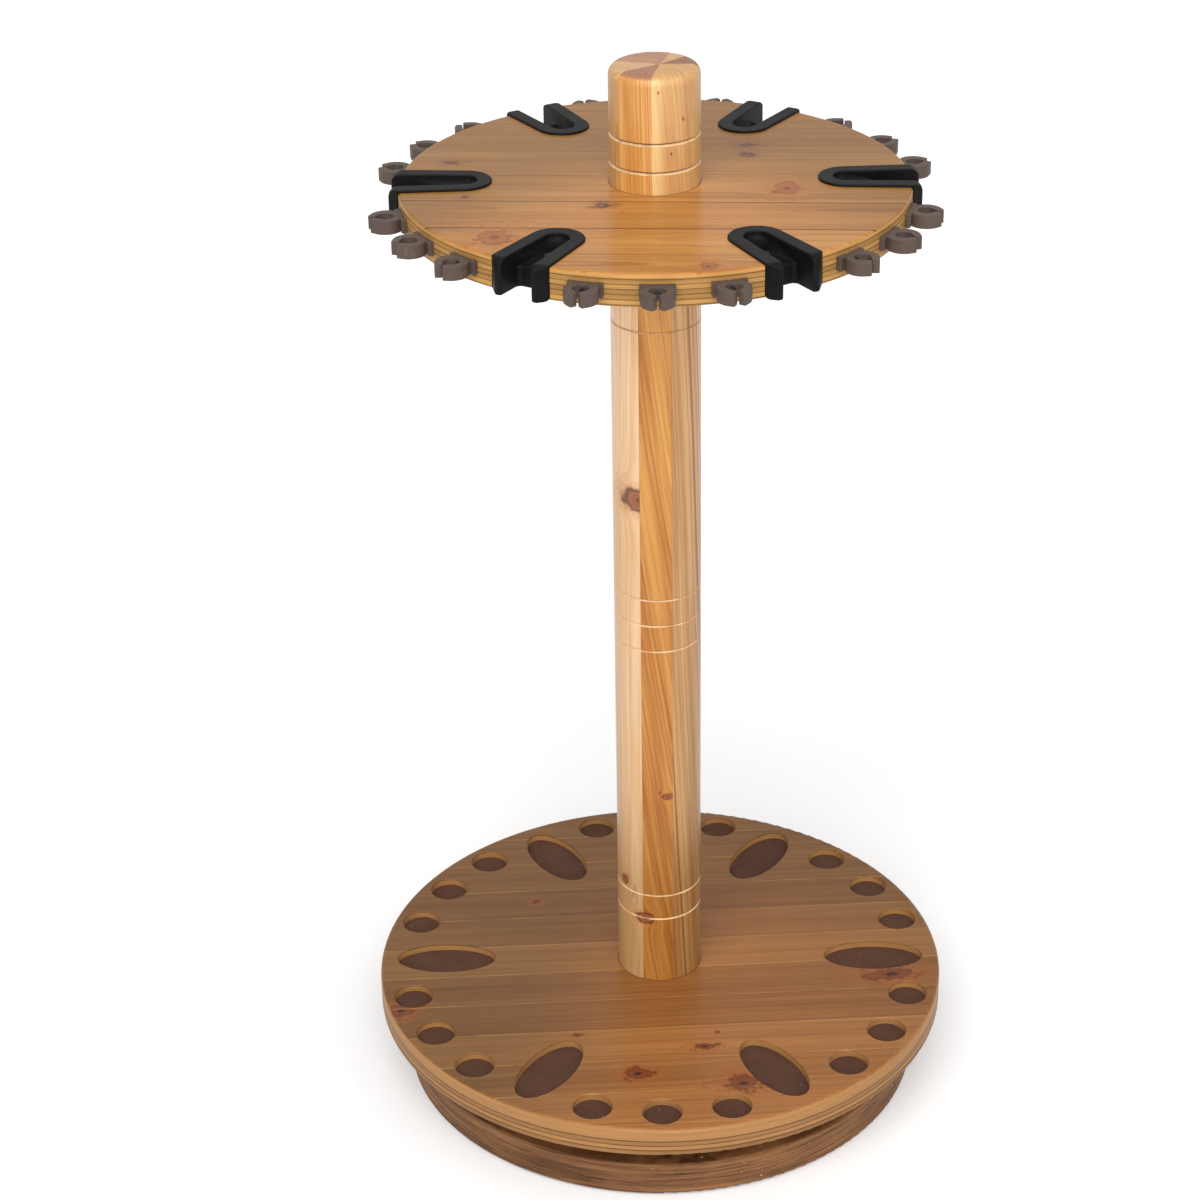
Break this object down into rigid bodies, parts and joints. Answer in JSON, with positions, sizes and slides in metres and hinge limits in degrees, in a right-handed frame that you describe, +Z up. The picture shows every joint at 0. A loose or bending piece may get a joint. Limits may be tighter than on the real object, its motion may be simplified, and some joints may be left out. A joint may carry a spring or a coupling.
{
  "type": "rod rack",
  "caption": "Round floor rack for fishing rods: a turning base with butt recesses on a ball bearing, a grooved post and a top disc with snap clips and slotted holders.",
  "frame": {"origin": "middle of the underside of the feet, on the axis of the post", "axes": "+Z up along the post, -Y towards the front, +X to the right"},
  "size_m": [0.52, 0.52, 0.9535],
  "materials": {
    "pine": "satin varnish",
    "laminated_pine": "satin varnish",
    "shaded_pine": "matt",
    "black_holder": "satin",
    "clip_rubber": "satin",
    "brown_pad": "felted",
    "foot_rubber": "matt",
    "black_nylon": "satin",
    "bearing_aluminium": "satin",
    "bright_steel": "polished",
    "zinc_steel": "zinc plated"
  },
  "bodies": {
    "stand": {"floor_disc": "shaded_pine", "rubber_feet": "foot_rubber", "foot_screws": "zinc_steel", "spacer_disc": "shaded_pine", "spacer_screws": "zinc_steel", "bearing_outer_ring": "bearing_aluminium", "outer_ring_screws": "zinc_steel"},
    "rotor": {"bearing_inner_ring": "bearing_aluminium", "inner_ring_screws": "zinc_steel", "base_disc": "pine", "round_butt_pads": "brown_pad", "oval_butt_pads": "brown_pad", "post": "laminated_pine", "post_bolt": "zinc_steel", "post_washer": "zinc_steel", "post_foot_screws": "zinc_steel", "post_top_screws": "zinc_steel", "top_disc": "pine", "finial": "laminated_pine", "finial_stud": "zinc_steel", "holder_screws": "zinc_steel", "clip_screws": "zinc_steel", "rod_holder_1": "black_holder", "rod_holder_2": "black_holder", "rod_holder_3": "black_holder", "rod_holder_4": "black_holder", "rod_holder_5": "black_holder", "rod_holder_6": "black_holder", "rod_clip_1": "clip_rubber", "rod_clip_2": "clip_rubber", "rod_clip_3": "clip_rubber", "rod_clip_4": "clip_rubber", "rod_clip_5": "clip_rubber", "rod_clip_6": "clip_rubber", "rod_clip_7": "clip_rubber", "rod_clip_8": "clip_rubber", "rod_clip_9": "clip_rubber", "rod_clip_10": "clip_rubber", "rod_clip_11": "clip_rubber", "rod_clip_12": "clip_rubber", "rod_clip_13": "clip_rubber", "rod_clip_14": "clip_rubber", "rod_clip_15": "clip_rubber", "rod_clip_16": "clip_rubber", "rod_clip_17": "clip_rubber", "rod_clip_18": "clip_rubber"},
    "cage": {"ball_cage": "black_nylon", "bearing_balls": "bright_steel"}
  },
  "joints": [
    {"name": "rotor_spin", "type": "hinge", "parent": "stand", "child": "rotor", "pos_m": [0, 0, 0.059], "axis": [0, 0, 1], "continuous": true},
    {"name": "cage_spin", "type": "hinge", "parent": "stand", "child": "cage", "pos_m": [0, 0, 0.059], "axis": [0, 0, 1], "continuous": true}
  ],
  "couplings": [
    {"joint": "cage_spin", "follows": "rotor_spin", "ratio": 0.5}
  ]
}
